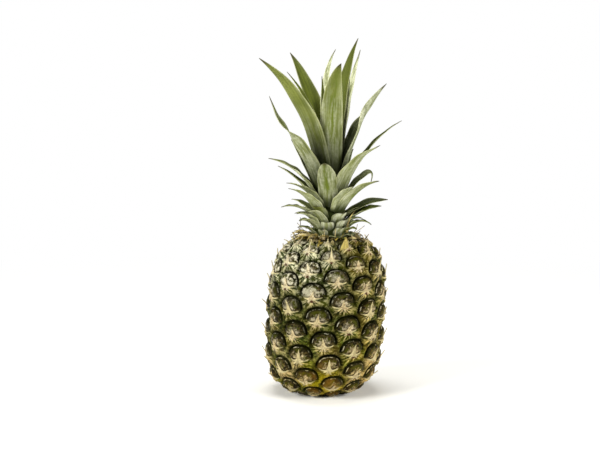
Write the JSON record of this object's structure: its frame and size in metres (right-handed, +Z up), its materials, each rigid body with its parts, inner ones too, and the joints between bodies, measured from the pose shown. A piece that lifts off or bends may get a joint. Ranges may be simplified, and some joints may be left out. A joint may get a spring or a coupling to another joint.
{
  "type": "whole pineapple with crown",
  "caption": "Whole fresh pineapple standing on its trimmed base: a barrel of spiralled six-sided eyes with pointed bracts, topped by a rosette of stiff trough-shaped leaves.",
  "frame": {"origin": "centre of the flat cut base, in the plane the fruit stands on", "axes": "+Z up along the fruit towards the crown, -Y towards the viewer of the fruit's best side, +X to the right"},
  "size_m": [0.1444, 0.1303, 0.3597],
  "materials": {
    "rind": "dull, waxy, with dry corky bract tips",
    "scale_leaves": "satin, finely ribbed lengthwise, pale bloom",
    "leaf": "satin, finely ribbed lengthwise, pale bloom on the back"
  },
  "bodies": {
    "root": {"fruit": "rind", "crown_stem": "scale_leaves", "leaf_01": "leaf", "leaf_02": "leaf", "leaf_03": "leaf", "leaf_04": "leaf", "leaf_05": "leaf", "leaf_06": "leaf", "leaf_07": "leaf", "leaf_08": "leaf", "leaf_09": "leaf", "leaf_10": "leaf", "leaf_11": "leaf", "leaf_12": "leaf", "leaf_13": "leaf", "leaf_14": "leaf", "leaf_15": "leaf", "leaf_16": "leaf", "leaf_17": "leaf", "leaf_18": "leaf", "leaf_19": "leaf", "leaf_20": "leaf", "leaf_21": "leaf", "leaf_22": "leaf", "leaf_23": "leaf", "leaf_24": "leaf", "leaf_25": "leaf", "leaf_26": "leaf", "leaf_27": "leaf", "leaf_28": "leaf", "leaf_29": "leaf", "leaf_30": "leaf", "leaf_31": "leaf", "leaf_32": "leaf", "leaf_33": "leaf", "leaf_34": "leaf", "leaf_35": "leaf", "leaf_36": "leaf"}
  },
  "joints": []
}
